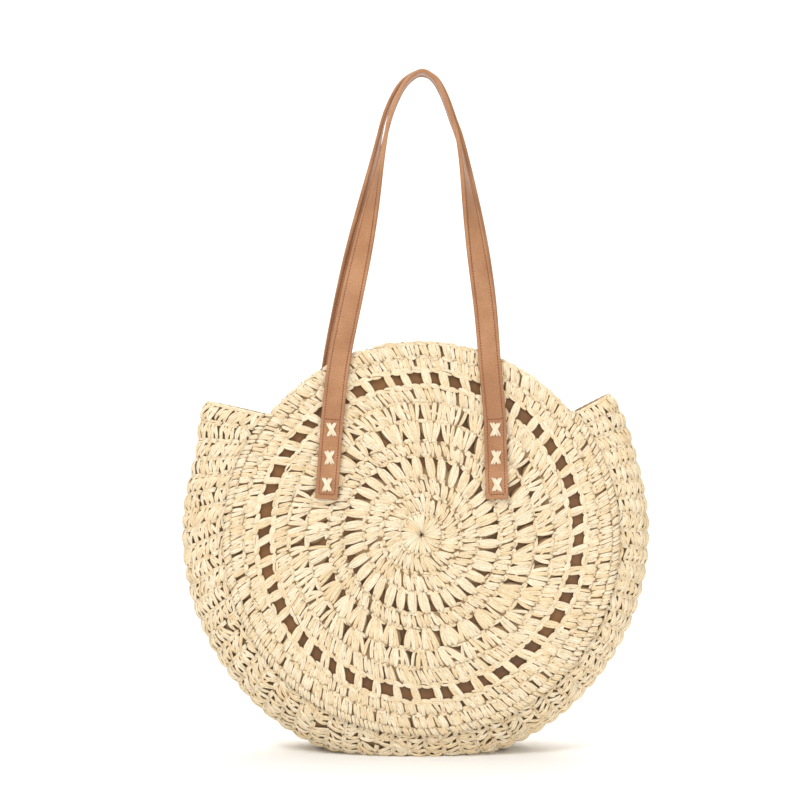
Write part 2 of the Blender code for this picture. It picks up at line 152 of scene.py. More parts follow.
class Strands:
    """Collects straw strands, and makes one mesh of them."""

    def __init__(self, seed):
        self.random = np.random.RandomState(seed)
        self.parts = []

    def jitter(self, shape, size):
        """Random offsets around 0."""
        return np.clip(self.random.normal(0.0, 1.0, shape), -2.2, 2.2) * size

    def add(self, path, up, width, height, profile=LEAF, shaded_under=False):
        """Strands along paths (n, places, 3), with half widths and half heights; one that lies
        under others is painted dark as shade."""
        count = len(path)
        flip = self.random.rand(count) < 0.5
        widths = np.reshape(width, (-1, 1)) * profile * (1 + self.jitter(path.shape[:2], 0.05))
        heights = np.reshape(height, (-1, 1)) * (0.35 + 0.65 * profile) * np.ones((count, 1))
        up = np.broadcast_to(up, path.shape).copy()
        path = path.copy()
        for values in (path, up, widths, heights):
            values[flip] = values[flip][:, ::-1]
        tones_and_shade = np.clip(0.5 + self.jitter(count, TONE_SPREAD), 0.0, 1.0) + SHADE_MARK * shaded_under
        self.parts.append((path, up, widths, heights, tones_and_shade))

    def make(self, name, material, floor=None):
        """One mesh object of all the strands."""
        path, up, widths, heights, tones_and_shade = map(np.concatenate, zip(*self.parts))
        run = unit(np.gradient(path, axis=1))
        side = unit(np.cross(run, up))
        top = np.cross(side, run)
        points = (path[:, :, None] + side[:, :, None] * widths[..., None, None] * SECTION[:, :1]
                  + top[:, :, None] * heights[..., None, None] * SECTION[:, 1:])
        if floor is not None:
            points[..., 2] = np.maximum(points[..., 2], floor)
        return strand_mesh(name, points, tones_and_shade, material)


def scene_object(name, data, place=(0, 0, 0), turn=(0, 0, 0)):
    """An object in the scene for a mesh, a light or a camera."""
    item = bpy.data.objects.new(name, data)
    item.location = place
    item.rotation_euler = turn
    bpy.context.collection.objects.link(item)
    return item


def smooth_mesh(name, points, faces, material):
    """A smooth mesh object from points and faces."""
    mesh = bpy.data.meshes.new(name)
    mesh.from_pydata(points, [], faces)
    mesh.shade_smooth()
    mesh.materials.append(material)
    return scene_object(name, mesh)


def set_uv(mesh, name, *parts):
    """A UV map from arrays in the order of the mesh's loops."""
    values = np.concatenate([part.reshape(-1, 2) for part in parts])
    layer = mesh.uv_layers.new(name=name)
    layer.data.foreach_set("uv", values.astype(np.float32).ravel())


def strand_mesh(name, points, tones_and_shade, material):
    """A mesh of closed strands from points (n, stations, sides, 3)."""
    count, stations, sides, _ = points.shape
    first = (np.arange(count) * stations * sides)[:, None, None]
    k = (np.arange(stations - 1) * sides)[None, :, None]
    j = np.arange(sides)[None, None, :]
    near, far = first + k + j, first + k + (j + 1) % sides
    quads = np.stack((near, near + sides, far + sides, far), axis=-1)
    start_cap = first[:, 0] + np.arange(sides)
    end_cap = start_cap[:, ::-1] + (stations - 1) * sides
    loops = np.concatenate((quads.ravel(), start_cap.ravel(), end_cap.ravel()))
    totals = np.concatenate((np.full(quads.size // 4, 4), np.full(2 * count, sides)))
    starts = np.concatenate(((0,), np.cumsum(totals)[:-1]))
    mesh = bpy.data.meshes.new(name)
    mesh.vertices.add(points.size // 3)
    mesh.vertices.foreach_set("co", points.astype(np.float32).ravel())
    mesh.loops.add(len(loops))
    mesh.loops.foreach_set("vertex_index", loops.astype(np.int32))
    mesh.polygons.add(len(totals))
    mesh.polygons.foreach_set("loop_start", starts.astype(np.int32))
    mesh.polygons.foreach_set("loop_total", totals.astype(np.int32))
    mesh.update(calc_edges=True)
    mesh.shade_smooth()

    # along the strand and round it, as the material reads them
    round_share = np.stack((j, j, j + 1, j + 1), axis=-1) / sides
    run_share = np.stack((k, k + sides, k + sides, k), axis=-1) / (sides * (stations - 1))
    shape = (count, stations - 1, sides, 4)
    quad_uv = np.stack((np.broadcast_to(round_share, shape), np.broadcast_to(run_share, shape)), -1)
    cap = np.stack((np.arange(sides) / sides, np.zeros(sides)), -1)
    set_uv(mesh, "Strand", quad_uv, np.broadcast_to(cap, (count, sides, 2)),
           np.broadcast_to(cap[::-1] + (0.0, 1.0), (count, sides, 2)))

    # one small cell of the bake's sheet for every strand
    columns = math.ceil(math.sqrt(count))
    strand = np.arange(count)
    corner = np.stack((strand % columns, strand // columns), -1).astype(float)
    body = quad_uv * CELL_SIZE + CELL_CORNER + corner[:, None, None, None]
    turn = 2 * math.pi * np.arange(sides) / sides
    disc = np.stack((np.cos(turn), np.sin(turn)), -1) * CELL_END_RADIUS
    ends = [disc + middle + corner[:, None] for middle in CELL_ENDS]
    set_uv(mesh, "OFBake", *(part / columns for part in (body, *ends)))

    tone_and_shade = mesh.attributes.new("tone_and_shade", "FLOAT", "POINT")
    tone_and_shade.data.foreach_set("value", np.repeat(tones_and_shade, stations * sides).astype(np.float32))
    mesh.materials.append(material)
    return scene_object(name, mesh)


# ---- materials ----

class Nodes:
    """Short calls for building a material's nodes."""

    def __init__(self, name):
        self.material = bpy.data.materials.new(name)
        self.material.use_nodes = True
        self.tree = self.material.node_tree
        self.shader = self.tree.nodes["Principled BSDF"]

    def add(self, kind, settings=None, **inputs):
        """A node, with its settings and its inputs by name."""
        node = self.tree.nodes.new(kind)
        for key, value in (settings or {}).items():
            setattr(node, key, value)
        for key, value in inputs.items():
            self.connect(node, key.replace("_", " "), value)
        return node

    def connect(self, node, key, value):
        """Set an input to a value, or link it to a socket."""
        socket = node.inputs[int(key)] if key.isdigit() else node.inputs[key]
        if isinstance(value, bpy.types.NodeSocket):
            self.tree.links.new(value, socket)
        else:
            socket.default_value = value

    def math(self, operation, a, b=0.0):
        """A Math node's result."""
        return self.add("ShaderNodeMath", {"operation": operation}, **{"0": a, "1": b}).outputs[0]

    def times(self, a, b):
        """The product of two values."""
        return self.math("MULTIPLY", a, b)

    def highest(self, first, *rest):
        """The highest of some values."""
        for value in rest:
            first = self.math("MAXIMUM", first, value)
        return first

    def away(self, value, middle):
        """How far a value lies from a middle value."""
        return self.math("ABSOLUTE", self.math("SUBTRACT", value, middle))

    def spread(self, parts, scales):
        """A place of three values, each stretched by its own scale."""
        x, y, z = (self.times(part, scale) for part, scale in zip(parts, scales))
        return self.add("ShaderNodeCombineXYZ", X=x, Y=y, Z=z).outputs[0]

    def noise(self, place, scale, detail, roughness=0.5):
        """A noise texture's value."""
        return self.add("ShaderNodeTexNoise", Vector=place, Scale=scale, Detail=detail,
                        Roughness=roughness).outputs[0]

    def span(self, value, low, high, to_low=0.0, to_high=1.0):
        """A value taken smoothly from one range to another."""
        return self.add("ShaderNodeMapRange", {"interpolation_type": "SMOOTHSTEP"}, Value=value,
                        From_Min=low, From_Max=high, To_Min=to_low, To_Max=to_high).outputs[0]

    def mix(self, share, a, b):
        """A colour between two colours."""
        node = self.add("ShaderNodeMix", {"data_type": "RGBA"}, **{"0": share, "6": a, "7": b})
        return node.outputs[2]

    def bump(self, height, strength, distance, normal=None):
        """A Bump node's normal."""
        node = self.add("ShaderNodeBump", Strength=strength, Distance=distance, Height=height)
        if normal is not None:
            self.connect(node, "Normal", normal)
        return node.outputs[0]

    def finish(self, base, roughness, **inputs):
        """The material, with its colour, its roughness and the shader's other inputs by name."""
        for key, value in (("Base_Color", base), ("Roughness", roughness), *inputs.items()):
            self.connect(self.shader, key.replace("_", " "), value)
        return self.material


def colour(red, green, blue):
    """A linear colour from 8-bit screen values."""
    linear = []
    for value in (red, green, blue):
        share = value / 255
        linear.append(share / 12.92 if share <= 0.04045 else ((share + 0.055) / 1.055) ** 2.4)
    return (*linear, 1.0)


def straw_material(name, pale, warm, painted_shade_colour):
    """Twisted paper straw: a tone for every strand, with painted shade in its fine lengthwise
    creases, towards each strand's edges and ends, and on the strands that lie under others.
    """
    n = Nodes(name)
    place = n.add("ShaderNodeUVMap", {"uv_map": "Strand"})
    split = n.add("ShaderNodeSeparateXYZ", Vector=place.outputs[0])
    around, along = split.outputs[0], split.outputs[1]
    tone_and_shade = n.add("ShaderNodeAttribute", {"attribute_name": "tone_and_shade"}).outputs["Fac"]
    spot = (around, along, tone_and_shade)
    fibre = n.noise(n.spread(spot, (13.0, 1.6, 90.0)), 1.0, 3.0, 0.6)
    hair = n.noise(n.spread(spot, (34.0, 3.0, 170.0)), 1.0, 2.0)
    from_crown = n.away(around, CROWN)
    # painted shade: the straw is darker towards each strand's edges and its ends, where
    # neighbouring strands shade it
    edge = n.span(n.times(from_crown, 3.0), 0.5, 1.05)
    end = n.span(n.times(n.away(along, 0.5), 2.0), 0.7, 1.05)
    # painted shade: strands that lie under others are darkened nearly to the painted shade colour
    shaded_under = n.math("GREATER_THAN", tone_and_shade, SHADE_MARK - 0.5)
    base = n.mix(n.span(n.math("FLOORED_MODULO", tone_and_shade, SHADE_MARK), 0.15, 0.95), pale, warm)
    # painted shade in the fine lengthwise creases of the twisted straw, and along the crease on top
    # of each strand
    crease_shade = n.highest(n.times(n.span(fibre, 0.52, 0.66), 0.3),
                       n.span(n.away(fibre, 0.5), 0.0, 0.024, 0.7, 0.0))
    fold = n.times(n.span(from_crown, 0.0, 0.035, 0.62, 0.0), n.span(fibre, 0.35, 0.6))
    # all the painted shade together, blended from the straw's tone towards the painted shade colour
    shade = n.highest(n.times(edge, 0.8), n.times(end, 0.6), crease_shade, fold, n.times(shaded_under, 0.88))
    return n.finish(n.mix(shade, base, painted_shade_colour), n.span(hair, 0.3, 0.7, 0.5, 0.74),
                    Normal=n.bump(hair, 0.4, 0.00025, n.bump(fibre, 0.55, 0.0007)),
                    Specular_IOR_Level=0.35)


def satin_material():
    """Brown lining satin: a fine weave with a soft sheen."""
    n = Nodes("lining_satin")
    place = n.add("ShaderNodeTexCoord").outputs["Object"]
    cloud = n.noise(place, 14.0, 3.0)
    base = n.mix(n.span(cloud, 0.3, 0.7), colour(112, 72, 28), colour(140, 96, 46))
    weave = n.add("ShaderNodeTexWave", {"bands_direction": "Z"}, Vector=place, Scale=560.0,
                  Distortion=1.2, Detail=1.0).outputs[1]
    return n.finish(n.mix(n.times(weave, 0.18), base, colour(88, 48, 20)),
                    n.span(cloud, 0.3, 0.7, 0.34, 0.46), Normal=n.bump(weave, 0.25, 0.0001),
                    Sheen_Weight=0.25, Sheen_Roughness=0.35, Anisotropic=0.4)


def leather_material():
    """Tan synthetic leather with a fine pebbled grain."""
    n = Nodes("strap_leather")
    place = n.add("ShaderNodeTexCoord").outputs["Object"]
    cells = n.add("ShaderNodeTexVoronoi", {"feature": "F1"}, Vector=place, Scale=950.0).outputs[0]
    speck = n.noise(place, 420.0, 3.0)
    base = n.mix(n.span(n.noise(place, 26.0, 4.0), 0.32, 0.7), colour(162, 112, 73),
                 colour(183, 133, 92))
    pits = n.times(n.span(cells, 0.35, 0.75), 0.22)
    return n.finish(n.mix(pits, base, colour(104, 60, 36)), n.span(speck, 0.3, 0.7, 0.36, 0.52),
                    Normal=n.bump(speck, 0.25, 0.0002, n.bump(cells, 0.3, 0.00025)),
                    Coat_Weight=0.12, Coat_Roughness=0.35)


def thread_material():
    """Rust-brown sewing thread."""
    n = Nodes("strap_thread")
    twist = n.noise(n.add("ShaderNodeTexCoord").outputs["Object"], 900.0, 1.0)
    return n.finish(n.mix(twist, colour(106, 48, 24), colour(146, 76, 42)),
                    n.span(twist, 0.2, 0.8, 0.5, 0.7))


def brass_material():
    """Antique brass of the magnetic snap, lightly brushed."""
    n = Nodes("snap_metal")
    cloud = n.noise(n.add("ShaderNodeTexCoord").outputs["Object"], 300.0, 4.0)
    return n.finish(n.mix(cloud, colour(196, 160, 96), colour(150, 112, 60)),
                    n.span(cloud, 0.3, 0.7, 0.22, 0.42), Metallic=1.0)


# ---- places on the panels and on the band ----

def panel_up(side):
    """Outward direction of a panel."""
    return np.array((0.0, side * math.cos(LEAN), math.sin(LEAN)))


def flat_place(side, u, v, lift):
    """World point of a place in a panel's plane."""
    depth = PANEL_DEPTH - v * math.sin(LEAN) + lift * math.cos(LEAN)
    height = PANEL_HEIGHT + v * math.cos(LEAN) + lift * math.sin(LEAN)
    return np.stack(np.broadcast_arrays(MIDDLE_X + u, side * depth, height), axis=-1)


def polar_place(side, radius, angle, lift):
    """World point of a polar place on a panel."""
    return flat_place(side, radius * np.cos(angle), radius * np.sin(angle), lift)


def reach(angle):
    """Distance from the panel centre to the band's fold, at an angle in degrees."""
    rightness = smooth_step((1 + np.cos(np.radians(angle))) / 2)
    distance = lerp(REACH_LEFT, REACH_RIGHT, rightness)
    from_right = (FOLD_END_RIGHT - angle) / EAR_FLARE_SPAN_RIGHT
    from_left = (angle - (FOLD_END_LEFT - 360)) / EAR_FLARE_SPAN_LEFT
    distance = distance + EAR_FLARE_RIGHT * (1 - smooth_step(from_right))
    return distance + EAR_FLARE_LEFT * (1 - smooth_step(from_left))


def band_place(along, across):
    """Points of the band's outer face: along from 0 to 1, across from -1 (front) to 1 (back)."""
    rim = np.radians(lerp(RIM_END_RIGHT, RIM_END_LEFT - 360, along))
    fold_angle = lerp(FOLD_END_RIGHT, FOLD_END_LEFT - 360, along)
    front, back = (polar_place(side, BAND_RADIUS, rim, -SEAM_GAP) for side in (FRONT, BACK))
    middle = (front + back) / 2
    distance = reach(fold_angle)
    fold_turn = np.radians(fold_angle)
    fold = np.stack((MIDDLE_X + distance * np.cos(fold_turn), 0 * distance,
                     PANEL_HEIGHT + distance * np.sin(fold_turn)), axis=-1)
    turn = across * math.pi / 2
    out = np.maximum(np.cos(turn), 0.0)[..., None] ** FOLD_FULLNESS
    point = middle + (fold - middle) * out + (back - middle) * np.sin(turn)[..., None]
    point[..., 2] = np.maximum(point[..., 2], 0.0)
    return point


def band_up(along, across):
    """Outward directions of the band's outer face."""
    step = 0.004
    low = np.clip(along, step, 1 - step)
    side = np.clip(across, step - 1, 1 - step)
    run = band_place(low + step, side) - band_place(low - step, side)
    fall = band_place(low, side + step) - band_place(low, side - step)
    normal = unit(np.cross(run, fall))
    outward = band_place(along, across) - np.array((MIDDLE_X, 0.0, PANEL_HEIGHT))
    turned = np.sign(np.sum(normal * outward, axis=-1, keepdims=True))
    return normal * turned


# ---- crochet on the round panels ----

# One grain of a stitch: where it starts and stops in the row's height, its sideways places there
# (shares of the stitch's pitch), its sideways bulge, its lift and its width (both shares)
CENTRE = ((0.0, 1.0, -0.05, 0.05, 0.0, 1.0, 1.0),)
PAIR = ((0.0, 0.86, -0.2, -0.16, -0.1, 0.9, 1.0), (0.13, 1.01, 0.12, 0.24, 0.06, 1.0, 1.0),
        (0.2, 0.74, -0.3, 0.26, 0.0, 1.25, 0.62))
PUFF = ((-0.1, 0.94, -0.2, -0.12, -0.08, 0.9, 1.0), (0.0, 1.05, 0.02, 0.03, 0.02, 1.2, 1.0),
        (-0.1, 0.96, 0.24, 0.14, 0.08, 1.0, 1.0), (0.3, 0.8, -0.16, 0.14, 0.0, 1.35, 0.6))
TRIPLE = ((0.02, 0.86, -0.3, -0.32, -0.04, 0.95, 1.0), (0.13, 1.0, -0.03, 0.02, 0.0, 1.15, 1.05),
          (0.0, 0.92, 0.26, 0.32, 0.04, 1.0, 1.0), (0.26, 0.72, -0.34, 0.1, 0.0, 1.35, 0.66))
FAN = ((0.02, 0.98, -0.2, -0.42, -0.04, 0.8, 0.9), (-0.04, 1.0, -0.11, -0.22, -0.02, 1.05, 1.05),
       (0.04, 1.06, 0.0, 0.0, 0.0, 1.2, 1.1), (-0.04, 1.0, 0.11, 0.21, 0.02, 1.05, 1.05),
       (0.02, 0.96, 0.2, 0.4, 0.04, 0.8, 0.9), (0.3, 0.62, -0.22, 0.2, 0.0, 1.4, 0.6))
POST = ((-0.06, 1.0, -0.045, -0.04, -0.055, 0.9, 1.0), (0.0, 1.06, 0.03, 0.09, 0.055, 1.1, 1.1),
        (0.1, 0.62, -0.09, 0.07, 0.0, 1.3, 0.7))
# One row: inner and outer radius, stitches, pattern, slant (degrees off the radius), half width
# of a grain, and how far its grains are drawn to the stitch's middle
ROWS = (
    (0.0022, 0.0198, 27, CENTRE, 4, 0.0019, 1.0),
    (0.0192, 0.038, 26, PAIR, 14, 0.002, 1.0),
    (0.0374, 0.055, 38, PAIR, 16, 0.0021, 1.0),
    (0.0545, 0.075, 36, PUFF, 13, 0.0022, 1.0),
    (0.074, 0.089, 66, PAIR, 18, 0.002, 1.0),
    (0.088, 0.1085, 34, FAN, 14, 0.0021, 1.0),
    (0.1075, 0.1262, 31, FAN, 16, 0.0023, 1.12),
    (0.125, 0.1415, 78, TRIPLE, 24, 0.0019, 0.97),
    (0.1405, 0.157, 50, POST, 19, 0.0023, 1.0),
    (0.156, 0.1692, 92, TRIPLE, 18, 0.002, 0.93),
    (0.1682, 0.1832, 98, TRIPLE, 20, 0.002, 0.93),
)
OPENWORK_ROW = 8
ROW_BACKING = {3: HEAD_OPEN, 5: FOOT_OPEN, 6: FOOT_OPEN}
CROCHET_PIECES = (("crochet_middle", range(7)), ("crochet_openwork", (7, 8)),
                  ("crochet_rim", (9, 10)))
GRAIN_LIFT = 0.0016  # of a grain's ends, from the panel's inner face
GRAIN_ARCH = 0.0015  # how much higher its middle lies
GRAIN_HEIGHT = 0.00145
HEAD_LIFT = 0.001  # how much higher a stitch's head lies than its foot
# Half width and lift of the chains along the heads of the rows
ROW_CHAIN, OPENWORK_CHAIN, EDGE_CHAIN = (0.0016, 0.0012), (0.0017, 0.0023), (0.0015, 0.0018)
CHAIN_ARCH = 0.0009
CHAIN_HEIGHT = 0.001
BACKING_LIFT = 0.0011
BACKING_OVERLAP = 0.0004
BACKING_HEIGHT = 0.0008
EDGE_STITCHES = 110  # in the chain along a panel's rim
SEAM_STITCHES = 112
WEDGE = np.array((0.2, 0.38, 0.72, 1.0, 1.02, 0.45))  # widths of a strand in the centre


def panel_wave(radius, angle):
    """How far the limp crochet sinks towards the lining, a little everywhere."""
    slow = np.sin(3 * angle + 1.1) * np.cos(radius * 38) + 0.6 * np.sin(5 * angle - radius * 60)
    return -0.0004 - 0.0003 * slow


def row_stitches(row):
    """Angles of a row's stitches, their pitch, and the angle by which they lean."""
    inner, outer, count, _, slant = ROWS[row][:5]
    pitch = 2 * math.pi / count
    wobble = np.random.RandomState(40 + row)
    stitch = pitch * (np.arange(count) + wobble.normal(0.0, 0.07, count)) + row * 1.7
    lean = math.tan(math.radians(slant)) * (outer - inner) / ((inner + outer) / 2)
    return stitch, pitch, lean


def post_row(strands, side, row):
    """The grains of one row of stitches."""
    inner, outer, count, pattern, _, half, gather = ROWS[row]
    stitch, pitch, lean = row_stitches(row)
    size = 1 + strands.jitter(count, 0.06)
    tilt = strands.jitter(count, 0.1)
    for start, stop, left, right, bulge, rise, wide in pattern:
        low = stitch + pitch * (left * gather * size - tilt * 0.5 + strands.jitter(count, 0.03))
        high = stitch + pitch * (right * gather * size + tilt * 0.5 + strands.jitter(count, 0.04))
        low = low + lean * (start - 0.5)
        high = high + lean * (stop - 0.5)
        first = lerp(inner, outer, start + strands.jitter(count, 0.035))
        last = lerp(inner, outer, stop + strands.jitter(count, 0.035))
        radius = lerp(first[:, None], last[:, None], ALONG)
        angle = lerp(low[:, None], high[:, None], ALONG) + pitch * bulge * gather * ARCH
        lift = GRAIN_LIFT + GRAIN_ARCH * rise * ARCH ** 0.6 + strands.jitter((count, 1), 0.0002)
        lift = lift + HEAD_LIFT * (ALONG - 0.5)
        path = polar_place(side, radius, angle, lift + panel_wave(radius, angle))
        width = half * wide * (1 + strands.jitter(count, 0.08))
        profile = {0: WEDGE, OPENWORK_ROW: np.sqrt(THIN)}.get(row, GRAIN)
        strands.add(path, panel_up(side), width, GRAIN_HEIGHT * (0.7 + 0.3 * wide), profile)


def under_row(strands, side, row):
    """Strands behind a row's grains, so that it isn't see-through between them; they are painted
    dark as the shade between the grains.
    """
    inner, outer = ROWS[row][:2]
    stitch, pitch, lean = row_stitches(row)
    angle = stitch[:, None] + lerp(-lean * 0.5, lean * 0.5, ALONG)
    path = polar_place(side, lerp(inner, outer, ALONG), angle, BACKING_LIFT)
    strands.add(path, panel_up(side), pitch * outer / 2 + BACKING_OVERLAP, BACKING_HEIGHT,
                ROW_BACKING.get(row, FULL), True)


def chain_ring(strands, side, radius, count, width, lift, shift=0.0, overlap=0.5):
    """Two strands to a stitch that run along the head of a row."""
    pitch = 2 * math.pi / count
    for lane in (-1, 1):
        stitch = pitch * (np.arange(count) + 0.5 + shift) + strands.jitter(count, 0.08 * pitch)
        angle = stitch[:, None] + pitch * overlap * (ALONG - 0.5) * 2
        drift = lane * width * (0.3 + 0.45 * ARCH) + width * (ALONG - 0.5)
        ring = radius + drift + strands.jitter((count, 1), 0.0004)
        path = polar_place(side, ring, angle, lift + CHAIN_ARCH * ARCH + panel_wave(ring, angle))
        strands.add(path, panel_up(side), width * (1 + strands.jitter(count, 0.12)), CHAIN_HEIGHT)


def panel_crochet(side, word, rows, seed, name, straw):
    """Some rows of a round panel's crochet as one piece."""
    strands = Strands(seed)
    for row in rows:
        outer, count = ROWS[row][1:3]
        if row not in (0, OPENWORK_ROW):
            under_row(strands, side, row)
        post_row(strands, side, row)
        if row in (OPENWORK_ROW - 1, OPENWORK_ROW):
            chain_ring(strands, side, outer - 0.0003, 2 * ROWS[OPENWORK_ROW][2], *OPENWORK_CHAIN,
                       overlap=0.58)
        elif row < len(ROWS) - 1:
            chain_ring(strands, side, outer - 0.0002, count, *ROW_CHAIN, shift=row * 0.37)
    if rows[-1] == len(ROWS) - 1:
        chain_ring(strands, side, PANEL_RADIUS - 0.0012, EDGE_STITCHES, *EDGE_CHAIN, overlap=0.6)
    return strands.make(f"{word}_{name}", straw)


def seam_row(side, word, seed, straw):
    """The crocheted row that joins a panel's rim to the band."""
    strands = Strands(seed)
    count = SEAM_STITCHES
    pitch = math.radians(RIM_END_LEFT - 360 - RIM_END_RIGHT) / count
    stitch = math.radians(RIM_END_RIGHT) + pitch * (np.arange(count) + 0.5)
    for ply in (-0.25, 0.25):
        middle = stitch + ply * pitch + strands.jitter(count, 0.1 * pitch)
        radius = PANEL_RADIUS + lerp(-0.003, 0.004, ALONG)
        angle = middle[:, None] + lerp(0.35, -0.35, ALONG) * pitch
        lift = 0.0036 - 0.002 * ALONG ** 2 + 0.0006 * ARCH
        path = polar_place(side, radius, angle, lift + strands.jitter((count, 1), 0.0003))
        strands.add(path, panel_up(side), 0.0018, 0.0014)
    return strands.make(f"{word}_seam_row", straw, 0.0)


# ---- crochet on the gusset band ----

BAND_ROWS = 56
BAND_STITCHES = 15
BAND_EDGE = 0.965  # how far across the stitches reach
LENGTH_SAMPLES = 61
LEG_LIFT = -0.0022  # of the ends of a stitch's legs, from the band's outer face
LEG_ARCH = 0.0026  # how much higher their middles lie
LEG_HALF_WIDTH = 0.0021
LEG_HEIGHT = 0.0016


def across_at(along, share):
    """Across values at shares of the band's measured width, for places along it."""
    across = np.linspace(-BAND_EDGE, BAND_EDGE, LENGTH_SAMPLES)
    grid = band_place(*np.meshgrid(along, across, indexing="ij"))
    steps = np.linalg.norm(np.diff(grid, axis=1), axis=-1)
    length = np.concatenate((np.zeros((len(along), 1)), np.cumsum(steps, axis=1)), axis=1)
    length /= length[:, -1:]
    return np.array([np.interp(place, reached, across) for place, reached in zip(share, length)])


def band_strand(strands, row, low_share, high_share, start, stop, lift, width, height,
                profile=LEAF, bulge=0.0, shaded_under=False):
    """Strands on the band: from one place in a row to another; shares are of the band's width."""
    run = lerp(np.reshape(start, (-1, 1)), np.reshape(stop, (-1, 1)), ALONG)
    along = np.clip((row[:, None] + run) / BAND_ROWS, 0.0, 1.0)
    share = lerp(low_share[:, None], high_share[:, None], smooth_step(ALONG))
    share = np.clip(share + bulge * ARCH, 0.0, 1.0)
    across = across_at(along.ravel(), share.ravel()).reshape(along.shape)
    up = band_up(along, across)
    path = band_place(along, across) + up * np.reshape(lift, (-1, 1))
    strands.add(path, up, width, height, profile, shaded_under)


def band_crochet(first_row, last_row, seed, name, straw):
    """Some rows of the gusset's crochet as one piece."""
    strands = Strands(seed)
    rows = np.repeat(np.arange(first_row, last_row), BAND_STITCHES).astype(float)
    stitches = np.tile(np.arange(BAND_STITCHES), last_row - first_row)
    pitch = 1 / BAND_STITCHES
    count = len(rows)
    shift = np.random.RandomState(90).normal(0.0, 0.1, (BAND_ROWS, BAND_STITCHES))
    middle = (stitches + 0.5 + shift[first_row:last_row].ravel()) * pitch
    facing = np.where(rows % 2 == 0, 1.0, -1.0)
    tilt = strands.jitter(count, 0.14 * pitch)
    # the two legs of a stitch spread at one end and meet at the other; rows alternate
    for ply in (-1, 1):
        wide = middle + ply * pitch * 0.33 + strands.jitter(count, 0.06 * pitch)
        narrow = middle + ply * pitch * 0.13 + strands.jitter(count, 0.05 * pitch)
        low = np.where(facing > 0, wide, narrow) - tilt - 0.2 * pitch * facing
        high = np.where(facing > 0, narrow, wide) + tilt + 0.2 * pitch * facing
        start = 0.02 + 0.05 * ply + strands.jitter(count, 0.04)
        stop = 0.98 + 0.05 * ply + strands.jitter(count, 0.04)
        lift = LEG_LIFT + (LEG_ARCH + 0.0003 * ply) * ARCH ** 0.6
        width = LEG_HALF_WIDTH * (1 + strands.jitter(count, 0.1))
        band_strand(strands, rows, low, high, start, stop, lift, width, LEG_HEIGHT,
                    bulge=ply * pitch * 0.08)
    # the yarn wrapped round the stitch
    slope = strands.jitter(count, 0.15 * pitch)
    band_strand(strands, rows, middle - 0.28 * pitch * facing + slope,
                middle + 0.3 * pitch * facing, 0.34 + strands.jitter(count, 0.06),
                0.8 + strands.jitter(count, 0.06), -0.0008 + 0.0016 * ARCH ** 0.7,
                0.0014 * (1 + strands.jitter(count, 0.1)), 0.001)
    # the strands behind the stitches, so that the band isn't see-through; they are painted dark as
    # the shade between the stitches
    even = (stitches + 0.5) * pitch
    band_strand(strands, rows, even, even, -0.02, 1.02, -0.0033, 0.0046, 0.0007, FULL, shaded_under=True)
    # the chain along the head of the row
    for lane in (-1, 1):
        drift = lane * 0.07
        band_strand(strands, rows, middle - 0.52 * pitch, middle + 0.52 * pitch,
                    0.97 + drift, 1.03 + drift + strands.jitter(count, 0.03),
                    -0.0021 + 0.0011 * ARCH, 0.0015, 0.0012)
    for end_row, place in ((0, 0.03), (BAND_ROWS, -0.03)):
        if end_row in (first_row, last_row):
            ends = np.full(BAND_STITCHES, float(end_row))
            spot = (np.arange(BAND_STITCHES) + 0.5) * pitch
            for depth in (-0.0008, -0.003):
                band_strand(strands, ends, spot - 0.6 * pitch, spot + 0.6 * pitch, place, place,
                            depth, 0.0019, 0.0014, THIN)
    return strands.make(name, straw, 0.0)


# ---- linings ----

LINING_RADIUS = BAND_RADIUS - SEAM_GAP
LINING_SHEET = 0.0005
LINING_RINGS = 40
LINING_SPOKES = 160
SEWN_FROM = 0.88  # how far across the gusset's lining turns towards its seams
SEWN_RADIUS = LINING_RADIUS - 0.001
SEWN_DROP = 0.00095  # the seams' depth behind a panel's inner face
HEM_INSET = 0.0014  # from the lining's edge to the middle of its turned hem
HEM_DROP = 0.0016
HEM_HALF_HEIGHT = 0.0021
HEM_HALF_THICKNESS = 0.0009


def grid_shell(name, outer, inner, material, closed=False):
    """A closed skin between two grids of points (rows, columns, 3); closed joins the columns."""
    rows, columns = outer.shape[:2]
    points = np.concatenate((outer.reshape(-1, 3), inner.reshape(-1, 3)))
    run = np.arange(columns if closed else columns - 1)
    i, j = np.meshgrid(np.arange(rows - 1), run, indexing="ij")
    near, far = i * columns + j, i * columns + (j + 1) % columns
    quads = np.stack((near, near + columns, far + columns, far), -1).reshape(-1, 4)
    other = rows * columns
    faces = [quads, quads[:, ::-1] + other]
    after = (run + 1) % columns
    base = (rows - 1) * columns
    rims = [(run, after, False), (base + run, base + after, True)]
    if not closed:
        rise = np.arange(rows - 1) * columns
        rims += [(rise, rise + columns, True),
                 (rise + columns - 1, rise + 2 * columns - 1, False)]
    for start, stop, turned in rims:
        rim = np.stack((start, stop, other + stop, other + start), -1)
        faces.append(rim[:, ::-1] if turned else rim)
    return smooth_mesh(name, points.tolist(), np.concatenate(faces).tolist(), material)


def disc_lining(side, word, satin):
    """A round lining: it lies against the crochet and sags inwards in soft folds."""
    radius = np.linspace(0.0006, LINING_RADIUS, LINING_RINGS)[:, None]
    angle = np.linspace(0.0, 2 * math.pi, LINING_SPOKES, endpoint=False)
    share = radius / LINING_RADIUS
    fold = (np.sin(7 * angle + 2.0 + side) * np.sin(4 * share + 1) + np.sin(11 * angle - 9 * share)
            + 0.7 * np.sin(4 * angle + 7 * share + side))
    sag = -0.0004 - (0.0005 + 0.0003 * fold) * np.sin(share * math.pi) ** 0.5
    skins = (polar_place(side, radius, angle, sag - drop) for drop in (0.0, LINING_SHEET))
    return grid_shell(f"{word}_lining_sheet", *skins, satin, True)


